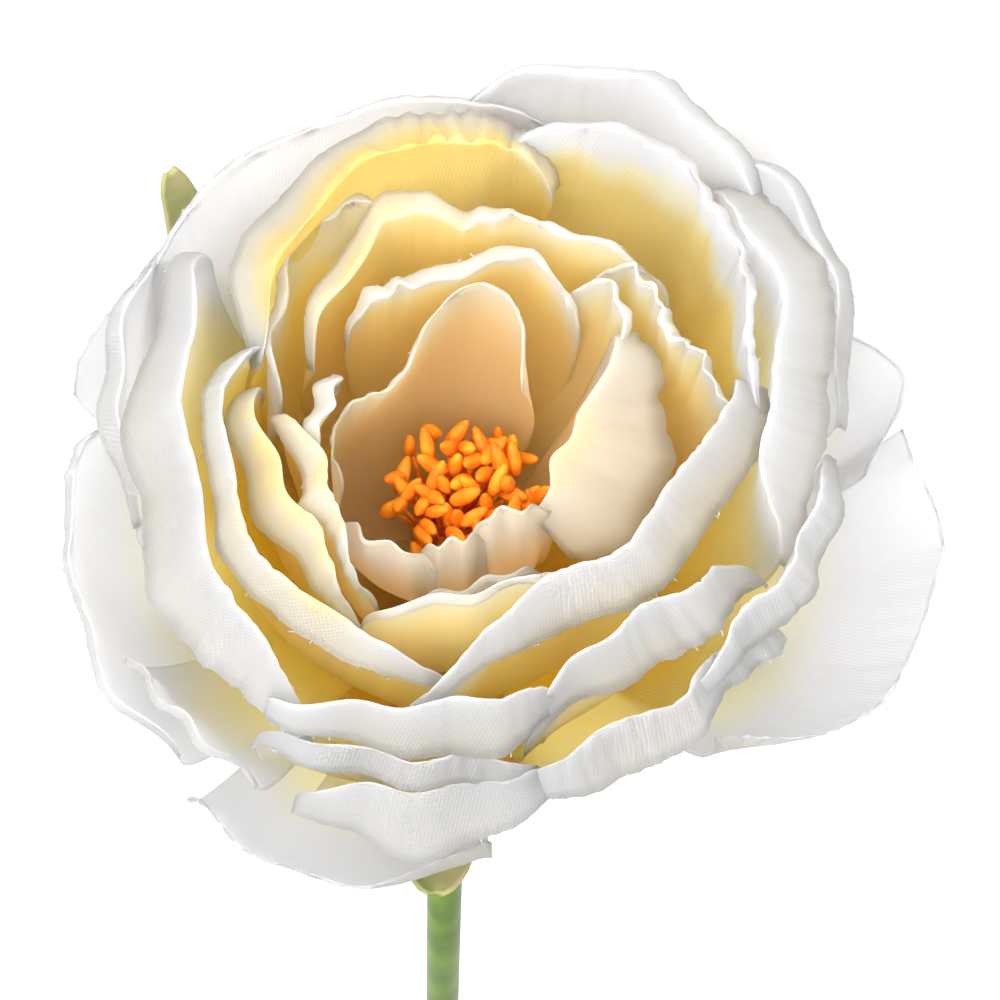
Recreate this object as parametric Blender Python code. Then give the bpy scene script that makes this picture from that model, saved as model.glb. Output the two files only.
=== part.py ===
"""A fabric rose, one full cupped bloom on a straight stem, lying on a flat surface.

Seven die-cut fabric layers are threaded on the stalk of a moulded stamen cluster. The stalk ends in a green
calyx with long sepals, and the calyx is pushed onto a plastic-covered wire stem.

The bloom is drawn in its own frame: the origin on top of the calyx, +Z out through the open face, angles
counter-clockwise from +X. An empty then lays the whole flower down on its upper petals and its stem's end.
"""

import math
import random
from dataclasses import dataclass

import bmesh
import bpy
from mathutils import Matrix, Vector

MM = 0.001

# Driving dimensions, in millimetres and degrees.
STEM_LENGTH = 290.0
STEM_RADIUS = 2.7
STEM_BORE = 1.1
WIRE_RADIUS = 0.8
FIT_GAP = 0.3
PETAL_THICKNESS = 0.6
LAYER_PITCH = 1.3
WASHER_RADIUS = 5.2
WASHER_THICKNESS = 0.8
STALK_RADIUS = 2.0
ROOT_RADIUS = 4.0

# How the flower lies: the axis rises toward the open face, and the bloom is rolled about it, until a petal
# on each side and the stem's end touch the surface together. The place centres the flower on the origin.
AXIS_RISE = 7.508
AXIS_ROLL = -4.265
BLOOM_PLACE = (5.985, -120.394, 41.151)

# Rows of points from a petal's root (0) to its rim (1), and over the folded lip to its cut edge (2).
BODY_ROWS = (0.0, 0.2, 0.42, 0.64, 0.84, 1.0)
LIP_ROWS = (1.22, 1.5, 2.0)
DEGREES_PER_COLUMN = 12.0

# Shape of a petal near its two sides: degrees of rounding, and shares of its height and span.
SHOULDER = 9.0
SHOULDER_DROP = 0.07
ROOT_SPAN = 0.86
LIP_RISE = 1.3

WHITE = (0.93, 0.92, 0.90, 1.0)
CREAM = (0.93, 0.88, 0.74, 1.0)
PEACH = (0.86, 0.66, 0.40, 1.0)
ORANGE = (0.85, 0.30, 0.02, 1.0)
SEPAL_GREEN = (0.42, 0.44, 0.20, 1.0)
STEM_GREEN = (0.17, 0.24, 0.05, 1.0)
STEEL = (0.55, 0.55, 0.56, 1.0)


@dataclass
class Petal:
    """One petal: its span, and values at even steps of angle along its rim.

    radius and height give the rim's crest. out and down give how far the folded lip's cut edge lies outward
    of the crest and below it.
    """

    start: float
    end: float
    radius: tuple
    height: tuple
    out: tuple
    down: tuple
    ripple: float = 0.5
    ripples: float = 3.0


@dataclass
class Layer:
    """One die-cut fabric layer: its place in the stack, the radius of its bowl, and its petals."""

    name: str
    step: int
    belly: float
    colour: tuple
    petals: tuple


LAYERS = (
    Layer("outer_petals", 0, 47.0, WHITE, (
        Petal(172, 225, (41.5, 44, 44.5, 46, 45), (27, 24, 21.5, 20, 20.5), (2, 3, 3, 3, 2), (1, 1, 1, 1, 1)),
        Petal(229, 282, (45.8, 48.3, 48.3, 46.3, 39), (18, 17, 15.5, 15.5, 17), (1, 2, 2, 2, 1), (1, 2, 2, 2, 1)),
        Petal(300, 370, (41.2, 44.4, 50.6, 54.5, 56.5, 54), (22, 20, 18, 18, 18.5, 21), (1, 2, 2, 2, 2, 1), (1, 1, 2, 2, 1, 1)),
        Petal(6, 76, (50.5, 56.5, 51.5, 48, 45, 43.5, 42, 41), (20, 21, 22, 22, 22, 21, 21, 20), (1, 1.5, 1.5, 1), (1, 1, 1, 1)),
        Petal(84, 152, (41, 44.5, 46.8, 45.5, 42), (19, 20, 20, 20, 20), (1, 1, 1, 1, 1), (1, 1, 1, 1, 1)),
    )),
    Layer("guard_petals", 1, 42.0, WHITE, (
        Petal(141, 184, (43.5, 42.4, 40.3, 38.3, 36.5), (34, 35, 34.5, 33, 30), (0.5, 1.5, 2.9, 3.3, 2), (1, 2, 3, 3, 2)),
        Petal(211, 237, (43, 44, 44.5, 43.5), (23, 24, 23.5, 22), (1, 1.5, 1.5, 1), (1, 1, 1, 1)),
        Petal(222, 284, (42, 41.5, 40.5, 40, 39), (33, 33.5, 33, 32.5, 31), (1, 2, 2, 2, 1), (2, 4, 5, 5, 3)),
        Petal(246, 291, (42.5, 41, 40, 39, 38.5), (27, 28, 28, 28, 28), (1, 4, 6, 4.5, 2), (2, 6, 7.5, 6, 4)),
        Petal(285, 330, (38.5, 38.5, 39, 40, 42), (30, 30, 31, 32, 31), (2, 4, 4, 3.5, 2), (4, 6.5, 5.5, 4, 2), 1.2, 3.0),
        Petal(316, 360, (39.5, 40, 41.5, 42.5, 44), (37, 38, 38, 38, 37), (1, 3, 3.5, 3, 1), (2, 5, 5, 4, 2)),
        Petal(10, 54, (45.5, 48, 49, 48.5, 46), (35, 38, 40, 41, 40), (2, 2.5, 3, 2.5, 1), (2, 3, 3, 3, 2)),
    )),
    Layer("cup_petals", 2, 38.5, WHITE, (
        Petal(141, 243, (37, 32.5, 30.5, 30, 31.3, 33.8, 36.6), (42, 44, 44, 43, 42, 41, 39),
              (2, 5, 7, 7, 7.5, 6, 2.5), (3, 5, 7, 7, 7, 6, 3)),
        Petal(236, 291, (39.8, 37.8, 35.5, 34.5, 34, 34), (35.5, 39.5, 41, 41, 41, 40.5), (1, 1.5, 2.5, 3.5, 3.5, 2),
              (2, 5, 8, 8, 8, 5)),
        Petal(287, 334, (34, 32.5, 31.5, 32.5, 34.5, 37), (40, 42, 42, 42, 41, 39), (1, 3, 4.5, 5, 4, 1),
              (3, 7, 7, 6, 4, 2)),
        Petal(348, 408, (39.5, 35.5, 36.5, 39, 41, 41.5, 43.5), (39, 43, 44, 45, 45, 44.5, 44), (1, 5.5, 6.5, 7, 7, 6, 2),
              (3, 5, 5, 5, 5, 4, 3)),
        Petal(40, 88, (45.5, 46, 46.6, 44.4, 43), (45, 46, 45, 43, 39), (1.5, 3.5, 4, 2.8, 1), (2, 4, 4, 3, 1)),
        Petal(70, 144, (42, 43, 42.5, 42, 42, 41), (38.5, 39.5, 39.5, 39.5, 39, 38), (0.5, 1, 1, 1, 1, 0.5),
              (0.5, 1, 1, 1, 1, 0.5)),
    )),
    Layer("bowl_petals", 3, 32.5, CREAM, (
        Petal(71, 160, (32.5, 34, 33.5, 31, 28, 26, 24), (44, 45.5, 46, 46, 46, 45, 43), (2.5, 6, 6.5, 6.5, 6.5, 6, 3),
              (2, 3.5, 4.5, 4.5, 4.5, 4, 3)),
        Petal(156, 268, (24.5, 25.5, 26, 27, 28, 27.5, 29.5), (43, 44, 44, 43, 42, 41, 37), (1, 2.5, 3, 3, 4.5, 4.5, 1),
              (2, 3, 3.5, 4, 4, 4.5, 2)),
        Petal(262, 369, (33.5, 26, 23.5, 25, 26, 28, 33.5), (38, 43, 43.5, 44, 44, 44, 43),
              (1, 2.5, 4.5, 5, 5.5, 5.5, 1.5), (2, 4.5, 5.5, 6, 6, 6, 3)),
        Petal(3, 82, (34, 35.5, 38.5, 41, 39, 35.5), (42, 45, 46, 46, 45.5, 44.5), (0.5, 0.8, 1, 1, 0.8, 0.5),
              (0.3, 0.5, 0.5, 0.5, 0.5, 0.3)),
    )),
    Layer("inner_petals", 4, 27.5, CREAM, (
        Petal(46, 118, (26.5, 26, 25, 24.5, 24, 23), (41, 42, 42.5, 42.5, 42, 41), (0.8, 1.2, 1.2, 1.2, 0.8),
              (0.5, 1, 1, 1, 0.5)),
        Petal(104, 154, (25, 26, 25.5, 24, 21.5), (41, 41.5, 41.5, 41, 40), (0.6, 0.8, 0.8, 0.8, 0.5),
              (0.5, 1, 1, 1, 0.5)),
        Petal(161, 246, (23.5, 22, 20.5, 20, 21, 24), (39.5, 41, 41, 40.5, 39, 36.5), (1, 2.5, 4, 4, 3, 1),
              (1, 3, 4, 4, 3, 1)),
        Petal(244, 312, (24, 22.5, 21.5, 21, 22.5), (38, 39.5, 40.5, 41, 40), (0.6, 1, 1, 1, 0.6), (0.5, 1.2, 1.2, 1.2, 0.5)),
        Petal(356, 414, (27.5, 29.5, 29, 28, 25), (37, 40.5, 41.5, 41.5, 41), (0.6, 1.5, 1.5, 1.2, 0.6),
              (0.5, 1.5, 1.5, 1, 0.5)),
    )),
    Layer("nest_petals", 5, 22.0, CREAM, (
        Petal(168, 246, (20.5, 17, 15.5, 16.5, 18.5, 21), (39, 40, 40, 39.5, 38, 35.5), (0.8, 2, 2.5, 2, 1.5, 0.5),
              (1, 2, 2, 2, 1.5, 0.5)),
        Petal(35, 128, (21.5, 22, 21.5, 21, 20.5, 20.5, 21.5), (39, 40.5, 41, 41, 40.5, 40.5, 39.5),
              (0.5, 1, 1, 1, 1, 1, 0.5), (0.5, 1, 1, 1, 1, 1, 0.5)),
        Petal(252, 310, (18, 17.5, 17, 17, 17.5), (30, 32, 33, 33, 31), (0.5, 0.8, 0.8, 0.8, 0.5), (0.5, 0.5, 0.5, 0.5, 0.5)),
    )),
    Layer("heart_petals", 6, 16.0, PEACH, (
        Petal(52, 176, (13.5, 16.5, 16, 12.5, 9.5, 11, 14), (37.5, 39, 39.5, 38.5, 37.5, 37, 35),
              (0.4, 0.6, 0.6, 0.6, 0.5, 0.5, 0.4), (0.3, 0.5, 0.5, 0.5, 0.5, 0.5, 0.3)),
        Petal(230, 264, (16.5, 15.5, 14.5, 15), (34.5, 37, 37, 34), (0.5, 0.5, 0.5, 0.3), (0.3, 0.4, 0.4, 0.3)),
        Petal(254, 290, (13.2, 13.6, 13.3, 12.6), (34, 36.5, 36.5, 34), (0.3, 0.5, 0.5, 0.3), (0.3, 0.4, 0.4, 0.3)),
        Petal(279, 324, (14.5, 13, 13.2, 14.4), (35, 38, 38, 35.5), (0.5, 0.5, 0.5, 0.3), (0.3, 0.4, 0.4, 0.3)),
        Petal(321, 388, (13, 12, 13.5, 16, 21), (35.5, 37.5, 39, 40.5, 41), (8, 12.5, 12, 8, 2), (4, 5, 5, 4, 2)),
    )),
)

# Sepals of the calyx: direction, reach from the axis, height of the tip.
SEPALS = ((128.7, 54.2, 25.5), (200, 43.0, 0.5), (268, 44.5, 0.8), (340, 44.0, 0.5), (55, 42.0, 0.5))
SEPAL_WIDTH = 9.0
SEPAL_THICKNESS = 0.9

ANTHER_COUNT = 40
ANTHER_LENGTH = 3.8
ANTHER_RADIUS = 0.85
ANTHER_SPREAD = 8.4
ANTHER_HEIGHT = 14.0
ANTHER_FALL = 4.5
ANTHER_LEAN = 0.8
STAMEN_SEED = 7


def blend(values, share):
    """Smooth curve through evenly spaced values, read at a share from 0 to 1."""
    last = len(values) - 1
    place = min(max(share, 0.0), 1.0) * last
    index = min(int(place), last - 1)
    t = place - index
    before = values[max(index - 1, 0)]
    here = values[index]
    there = values[index + 1]
    after = values[min(index + 2, last)]
    slope_here = (there - before) / 2
    slope_there = (after - here) / 2
    return (
        here * (2 * t**3 - 3 * t**2 + 1)
        + slope_here * (t**3 - 2 * t**2 + t)
        + there * (3 * t**2 - 2 * t**3)
        + slope_there * (t**3 - t**2)
    )


def bezier(points, t):
    """Point of a cubic curve through four (radius, height) control points."""
    weights = ((1 - t) ** 3, 3 * t * (1 - t) ** 2, 3 * t * t * (1 - t), t**3)
    return tuple(sum(w * p[axis] for w, p in zip(weights, points)) for axis in (0, 1))


def shoulder(across, span):
    """How far a point is into a petal's rounded side: 0 inside, 1 on the very edge."""
    inside = min(across, 1 - across) * span / SHOULDER
    return max(0.0, 1 - inside) ** 2


def petal_point(layer, petal, across, along):
    """Point of a petal's middle surface, in millimetres in the bloom's frame."""
    seat = layer.step * LAYER_PITCH
    side = shoulder(across, petal.end - petal.start)
    crest_radius = blend(petal.radius, across)
    crest_height = blend(petal.height, across)
    crest_height -= side * SHOULDER_DROP * (crest_height - seat)
    rise = crest_height - seat
    wave = math.sin(2 * math.pi * petal.ripples * across + petal.start)
    if along <= 1:
        curve = (
            (ROOT_RADIUS, seat),
            (ROOT_RADIUS + 0.8 * (layer.belly - ROOT_RADIUS), seat + 0.04 * rise),
            (0.35 * crest_radius + 0.65 * layer.belly, seat + 0.5 * rise),
            (crest_radius, crest_height),
        )
        radius, height = bezier(curve, along)
        radius += petal.ripple * wave * along**4
        open_out = min(1.0, along / 0.5)
        span_share = ROOT_SPAN + (1 - ROOT_SPAN) * open_out * open_out * (3 - 2 * open_out)
    else:
        fold = 1 - 0.7 * side
        out = blend(petal.out, across) * fold
        down = blend(petal.down, across) * fold
        over = LIP_RISE * min(1.0, (out + down) / 6)
        curve = (
            (crest_radius, crest_height),
            (crest_radius + 0.1 * out, crest_height + over),
            (crest_radius + 0.95 * out, crest_height + 0.6 * over),
            (crest_radius + out, crest_height - down),
        )
        radius, height = bezier(curve, along - 1)
        radius += petal.ripple * wave
        span_share = 1.0
    middle = (petal.start + petal.end) / 2
    half = (petal.end - petal.start) / 2
    angle = math.radians(middle + half * (2 * across - 1) * span_share)
    return Vector((radius * math.cos(angle), radius * math.sin(angle), height))


def material(name, colour, roughness, metallic=0.0):
    """Principled material with one colour."""
    made = bpy.data.materials.new(name)
    made.use_nodes = True
    shader = made.node_tree.nodes["Principled BSDF"]
    shader.inputs["Base Color"].default_value = colour
    shader.inputs["Roughness"].default_value = roughness
    shader.inputs["Metallic"].default_value = metallic
    return made


def object_from(bm, name, finish=None):
    """Object from a bmesh that was drawn in millimetres."""
    bmesh.ops.scale(bm, vec=(MM, MM, MM), verts=bm.verts)
    mesh = bpy.data.meshes.new(name)
    bm.to_mesh(mesh)
    bm.free()
    obj = bpy.data.objects.new(name, mesh)
    bpy.context.scene.collection.objects.link(obj)
    if finish:
        mesh.materials.append(finish)
    return obj


def apply_modifiers(obj):
    """Replace an object's mesh with the one that its modifiers give."""
    graph = bpy.context.evaluated_depsgraph_get()
    mesh = bpy.data.meshes.new_from_object(obj.evaluated_get(graph))
    obj.modifiers.clear()
    obj.data = mesh


def keep_main_shell(obj):
    """Keep an object's largest shell: a pocket that fusing sealed is filled, and a loose scrap is dropped."""
    bm = bmesh.new()
    bm.from_mesh(obj.data)
    unseen = set(bm.faces)
    shells = []
    while unseen:
        reached = [unseen.pop()]
        for face in reached:
            for edge in face.edges:
                for other in edge.link_faces:
                    if other in unseen:
                        unseen.remove(other)
                        reached.append(other)
        shells.append(reached)
    shells.sort(key=len)
    for shell in shells[:-1]:
        bmesh.ops.delete(bm, geom=shell, context="FACES")
    bm.to_mesh(obj.data)
    bm.free()


def join_solids(base, others, solver="MANIFOLD"):
    """Fuse closed bodies into the base object with one Boolean union, and remove them."""
    group = bpy.data.collections.new(base.name + "_pieces")
    bpy.context.scene.collection.children.link(group)
    for other in others:
        bpy.context.scene.collection.objects.unlink(other)
        group.objects.link(other)
    union = base.modifiers.new("union", "BOOLEAN")
    union.operation = "UNION"
    union.solver = solver
    union.operand_type = "COLLECTION"
    union.collection = group
    apply_modifiers(base)
    for other in others:
        bpy.data.objects.remove(other)
    bpy.data.collections.remove(group)
    keep_main_shell(base)


def petal_sheet(layer, petal, name):
    """Thin closed solid of one petal, its two faces split into triangles alike."""
    rows = BODY_ROWS + LIP_ROWS
    columns = max(4, round((petal.end - petal.start) / DEGREES_PER_COLUMN))
    bm = bmesh.new()
    bmesh.ops.create_grid(bm, x_segments=columns, y_segments=len(rows) - 1, size=0.5)
    for vert in bm.verts:
        across = vert.co.x + 0.5
        row = round((vert.co.y + 0.5) * (len(rows) - 1))
        vert.co = petal_point(layer, petal, across, rows[row])
    bmesh.ops.triangulate(bm, faces=bm.faces, quad_method="SHORT_EDGE")
    obj = object_from(bm, name)
    wall = obj.modifiers.new("thickness", "SOLIDIFY")
    wall.thickness = PETAL_THICKNESS * MM
    wall.offset = 0.0
    apply_modifiers(obj)
    return obj


def turned(profile, steps, name, finish=None):
    """Closed ring or solid turned about the axis from an outline of (radius, height) points."""
    bm = bmesh.new()
    verts = [bm.verts.new((radius, 0.0, height)) for radius, height in profile]
    edges = []
    for one, other in zip(verts, verts[1:] + verts[:1]):
        if one.co.x > 0 or other.co.x > 0:
            edges.append(bm.edges.new((one, other)))
    bmesh.ops.spin(
        bm, geom=verts + edges, axis=(0, 0, 1), cent=(0, 0, 0), angle=2 * math.pi, steps=steps, use_merge=True
    )
    bmesh.ops.remove_doubles(bm, verts=bm.verts, dist=0.0001)
    bmesh.ops.recalc_face_normals(bm, faces=bm.faces)
    return object_from(bm, name, finish)


def petal_layer(layer):
    """One fabric layer: its petals fused to the ring round the stalk's hole."""
    seat = layer.step * LAYER_PITCH
    half = WASHER_THICKNESS / 2
    hole = STALK_RADIUS + FIT_GAP
    ring = (
        (hole, seat - half),
        (WASHER_RADIUS, seat - half),
        (WASHER_RADIUS, seat + half),
        (hole, seat + half),
    )
    finish = material(layer.name + "_fabric", layer.colour, 0.8)
    base = turned(ring, 20, layer.name, finish)
    petals = [petal_sheet(layer, petal, f"{layer.name}_{i}") for i, petal in enumerate(layer.petals)]
    join_solids(base, petals)
    return base


def filament(foot, tip, name):
    """Four-sided filament from foot to tip."""
    bm = bmesh.new()
    turn = (tip - foot).to_track_quat("Z", "Y").to_matrix().to_4x4()
    place = Matrix.Translation((foot + tip) / 2) @ turn
    bmesh.ops.create_cone(
        bm, cap_ends=True, segments=4, radius1=0.5, radius2=0.4, depth=(tip - foot).length, matrix=place
    )
    return object_from(bm, name)


def anther(tip, aim, name):
    """Rice-shaped anther about a filament's tip."""
    bm = bmesh.new()
    turn = aim.to_track_quat("Z", "Y").to_matrix().to_4x4()
    size = Matrix.Diagonal((ANTHER_RADIUS, ANTHER_RADIUS, ANTHER_LENGTH / 2, 1.0))
    bmesh.ops.create_icosphere(bm, subdivisions=1, radius=1.0, matrix=Matrix.Translation(tip) @ turn @ size)
    return object_from(bm, name)


def stamens():
    """Moulded cluster: stalk, domed core, and anthers on short filaments."""
    top = (len(LAYERS) - 1) * LAYER_PITCH + WASHER_THICKNESS / 2 + FIT_GAP
    finish = material("moulded_orange", ORANGE, 0.55)
    profile = (
        (0.0, -2.6),
        (STALK_RADIUS, -2.6),
        (STALK_RADIUS, top),
        (4.6, top),
        (4.6, top + 1.2),
        (3.4, top + 2.6),
        (1.6, top + 3.3),
        (0.0, top + 3.5),
    )
    base = turned(profile, 16, "stamens", finish)
    draw = random.Random(STAMEN_SEED)
    pieces = []
    for index in range(ANTHER_COUNT):
        share = (index + 0.5) / ANTHER_COUNT
        direction = index * math.radians(137.5) + draw.uniform(-0.25, 0.25)
        spread = ANTHER_SPREAD * math.sqrt(share) + draw.uniform(-0.7, 0.7)
        height = top + ANTHER_HEIGHT - ANTHER_FALL * share * share + draw.uniform(-1.6, 1.6)
        outward = Vector((math.cos(direction), math.sin(direction), 0.0))
        foot = 0.35 * spread * outward + Vector((0, 0, top + 1.2))
        tip = spread * outward + Vector((0, 0, height))
        aim = tip - foot
        lean = Vector((draw.uniform(-1, 1), draw.uniform(-1, 1), draw.uniform(-0.3, 0.3)))
        pieces.append(filament(foot, tip, f"filament_{index}"))
        pieces.append(anther(tip, aim.normalized() + ANTHER_LEAN * lean, f"anther_{index}"))
    join_solids(base, pieces)
    return base


def sepal(direction, reach, tip_height, name):
    """One pointed sepal, cupped along its midrib, from the calyx cup out under the petals."""
    bm = bmesh.new()
    bmesh.ops.create_grid(bm, x_segments=2, y_segments=9, size=0.5)
    angle = math.radians(direction)
    outward = Vector((math.cos(angle), math.sin(angle), 0.0))
    sideways = Vector((-math.sin(angle), math.cos(angle), 0.0))
    for vert in bm.verts:
        side = 2 * vert.co.x
        along = vert.co.y + 0.5
        half = SEPAL_WIDTH / 2 * (0.3 + 0.7 * math.sin(math.pi * along**0.8))
        curve = ((4.0, -2.2), (0.88 * reach, -7.0), (0.92 * reach, 0.5 * tip_height), (reach, tip_height))
        radius, height = bezier(curve, along)
        vert.co = outward * radius + sideways * (side * half) + Vector((0, 0, height - 0.5 * (1 - side * side)))
    bmesh.ops.triangulate(bm, faces=bm.faces, quad_method="SHORT_EDGE")
    obj = object_from(bm, name)
    wall = obj.modifiers.new("thickness", "SOLIDIFY")
    wall.thickness = SEPAL_THICKNESS * MM
    wall.offset = 0.0
    apply_modifiers(obj)
    return obj


def calyx():
    """Green moulding: cup under the petals, socket for the stem, and the sepals."""
    finish = material("moulded_green", SEPAL_GREEN, 0.5)
    hole = STALK_RADIUS + FIT_GAP
    bore = STEM_RADIUS + FIT_GAP
    profile = (
        (0.0, -3.0),
        (hole, -3.0),
        (hole, -0.9),
        (7.5, -0.9),
        (7.8, -1.6),
        (6.6, -4.5),
        (4.9, -8.0),
        (4.3, -12.0),
        (4.2, -15.0),
        (bore, -15.0),
        (bore, -4.2),
        (0.0, -4.2),
    )
    base = turned(profile, 20, "calyx", finish)
    join_solids(base, [sepal(*row, f"sepal_{i}") for i, row in enumerate(SEPALS)])
    return base


def stem():
    """Plastic sheath with the wire's bore through it, and the wire."""
    top = -4.2 - FIT_GAP
    end = top - STEM_LENGTH
    sheath = (
        (STEM_BORE, end),
        (STEM_RADIUS, end),
        (STEM_RADIUS, top),
        (STEM_BORE, top),
    )
    turned(sheath, 20, "stem", material("plastic_green", STEM_GREEN, 0.45))
    wire = (
        (0.0, end + 0.5),
        (WIRE_RADIUS, end + 0.5),
        (WIRE_RADIUS, top),
        (0.0, top),
    )
    turned(wire, 12, "stem_wire", material("steel_wire", STEEL, 0.35, 1.0))


def lay_down():
    """Parent every piece to an empty that lays the flower on its upper petals and its stem's end."""
    rise = math.radians(AXIS_RISE)
    to_right = Vector((-1, 0, 0))
    to_top = Vector((0, -math.sin(rise), -math.cos(rise)))
    to_face = Vector((0, -math.cos(rise), math.sin(rise)))
    turn = Matrix((to_right, to_top, to_face)).transposed().to_4x4()
    turn = turn @ Matrix.Rotation(-math.radians(AXIS_ROLL), 4, "Z")
    pieces = [obj for obj in bpy.data.objects if obj.type == "MESH"]
    holder = bpy.data.objects.new("bloom_frame", None)
    bpy.context.scene.collection.objects.link(holder)
    holder.matrix_world = Matrix.Translation(Vector(BLOOM_PLACE) * MM) @ turn
    for piece in pieces:
        piece.parent = holder


def main():
    for old in list(bpy.data.objects):
        bpy.data.objects.remove(old)
    for layer in LAYERS:
        petal_layer(layer)
    stamens()
    calyx()
    stem()
    for obj in bpy.data.objects:
        obj.data.shade_smooth()
        obj.data.set_sharp_from_angle(angle=math.radians(50))
    lay_down()


main()
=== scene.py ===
"""Looks of a fabric rose that lies on a pale table.

The petals are stiffened woven polyester, dyed yellow from the root, with rims that are folded outward and cut
edges that fray. The stamens and the calyx are moulded, and the stem is a covered wire.

Every petal is drawn in the bloom's own frame, in millimetres: the origin on top of the calyx, +Z out through
the open face, angles counter-clockwise from +X. One matrix then lays it down where the frame's nodes lie.
"""

import logging
import math
import random
from dataclasses import dataclass
from enum import Enum
from typing import Any

import bmesh
import bpy
from mathutils import Matrix, Vector, noise


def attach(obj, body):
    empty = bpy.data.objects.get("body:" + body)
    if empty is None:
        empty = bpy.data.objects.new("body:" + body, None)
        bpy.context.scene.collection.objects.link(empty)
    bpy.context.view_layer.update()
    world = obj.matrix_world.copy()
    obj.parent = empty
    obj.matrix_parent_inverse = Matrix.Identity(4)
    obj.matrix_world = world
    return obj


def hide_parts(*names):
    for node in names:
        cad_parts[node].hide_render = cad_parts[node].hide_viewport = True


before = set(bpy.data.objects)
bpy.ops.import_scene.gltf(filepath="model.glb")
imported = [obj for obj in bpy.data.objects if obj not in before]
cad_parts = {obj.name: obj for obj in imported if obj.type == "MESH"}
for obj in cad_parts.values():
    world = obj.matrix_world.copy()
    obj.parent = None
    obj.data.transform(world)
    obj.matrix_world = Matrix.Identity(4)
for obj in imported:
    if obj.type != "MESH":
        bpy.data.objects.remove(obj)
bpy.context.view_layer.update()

log = logging.getLogger("rose")

MM = 0.001

# How the flower lies, as its solids do: the axis rises toward the open face and the bloom is rolled about it.
AXIS_RISE = 7.508
AXIS_ROLL = -4.265
BLOOM_PLACE = Vector((5.985, -120.394, 41.151))

# Sizes of the solids: the layers' spacing on the stalk, the petals' roots, the ring in a layer's middle with
# half its thickness, the gap of a fit, and the stalk, stem and wire.
LAYER_PITCH = 1.3
ROOT_RADIUS = 4.0
WASHER_RADIUS = 5.2
WASHER_HALF = 0.4
STALK_RADIUS = 2.0
FIT_GAP = 0.3
STEM_RADIUS = 2.7
STEM_LENGTH = 290.0
STEM_TOP = -4.5
WIRE_RADIUS = 0.8

# Width of the rounded corner at each side of a petal, in degrees, and how much of its quarter circle is used.
# Then the petal's span at its root as a share of the whole, which it reaches half way to the crest.
SHOULDER = 15.0
STEEPEST = 0.995
ROOT_SPAN = 0.86
SPAN_OPEN = 0.5

# Middle control points of a petal's body: shares of the way out to the belly and up to the crest.
BELLY_OUT = 0.8
BELLY_RISE = 0.04
WALL_IN = 0.35
WALL_RISE = 0.5

# The lip rises a little over the crest before it folds down, and a narrow one less. SIDE_FOLD is how much
# narrower the lip is at the petal's sides.
LIP_RISE = 0.35
LIP_TURN = 0.12
FULL_LIP = 3.0
SIDE_FOLD = 0.4

# Kinds of unevenness along the rim, each with its wavelength and its plane of the noise: the creases, the
# slow swell, the pleats, the cut edge's flutter, and the lip's uneven width and fall. Then the small waves,
# outward and upright, each made of two kinds with a weight before each.
CREASE_WAVE = (4.0, 60.5)
SWELL_WAVE = (12.0, 2.5)
PLEAT_WAVE = (1.1, 1.5)
FLUTTER_WAVE = (2.6, 70.5)
WIDTH_WAVE = (4.5, 31.5)
FALL_WAVE = (5.5, 42.5)
SWINGS = ((1.0, (6.0, 0.5)), (0.5, (2.4, 9.5)))
LIFTS = ((0.8, (5.0, 20.5)), (0.4, (1.9, 25.5)))

# Height of the swell, share of the frill in the flutter, and the lip's uneven cut, plain and by the frill.
SWELL = 0.35
FLUTTER = 0.35
ROUGH_CUT = 0.6
FRILL_CUT = 0.6

# Shares that the waves lose on the way to the cut edge: the outward ones, and the upright ones and creases.
SWING_LOSS = 0.6
LIFT_LOSS = 0.5

CLOTH_THICKNESS = 0.2

# How uneven the cut is. Then the loose threads: width, greatest length, least share of it before squaring,
# start inside the edge, lean, bend at each step, and steps.
CUT_STEP = 0.13
THREAD_WIDTH = 0.10
THREAD_REACH = 1.0
THREAD_LEAST = 0.2
THREAD_ROOT = 0.15
THREAD_LEAN = 1.2
THREAD_BEND = 0.5
THREAD_STEPS = 3

# Steps of the petals' mesh. Its rows crowd toward the crest on both sides.
COLUMN_WIDTH = 0.45
LEAST_COLUMNS = 20
BODY_ROWS = 32
LIP_ROWS = 12
LAST_ROW = BODY_ROWS + LIP_ROWS
BODY_SPREAD = 0.85
LIP_SPREAD = 1.4
WASHER_STEPS = 48

# Patches in the dye and in its mottle, along the rim at DYE_RADIUS and along the petal.
DYE_RADIUS = 30.0
DYE_PATCH = (5.0, 7.0)
MOTTLE_PATCH = (4.0, 5.0)
MOTTLE_LEVEL = 0.98
DEEP_DYE = (1.0, 1.0)
UNDYED = ((0.0, 0.0), (0.0, 1.0))

# Numbers that set the waves of one layer and one petal apart from the others.
LAYER_SEED = 11.0
PETAL_SEED = 3.7

# Gap between the cloth's middle and the table.
TABLE_GAP = 0.12


def lying_matrix() -> Matrix:
    """Work out how the bloom lies.

    Returns:
        Matrix from the bloom's frame in millimetres to the row's frame in metres.
    """
    rise = math.radians(AXIS_RISE)
    to_right = Vector((-1, 0, 0))
    to_top = Vector((0, -math.sin(rise), -math.cos(rise)))
    to_face = Vector((0, -math.cos(rise), math.sin(rise)))
    turn = Matrix((to_right, to_top, to_face)).transposed().to_4x4()
    roll = Matrix.Rotation(-math.radians(AXIS_ROLL), 4, "Z")
    return Matrix.Translation(BLOOM_PLACE * MM) @ turn @ roll @ Matrix.Scale(MM, 4)


LYING = lying_matrix()


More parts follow.
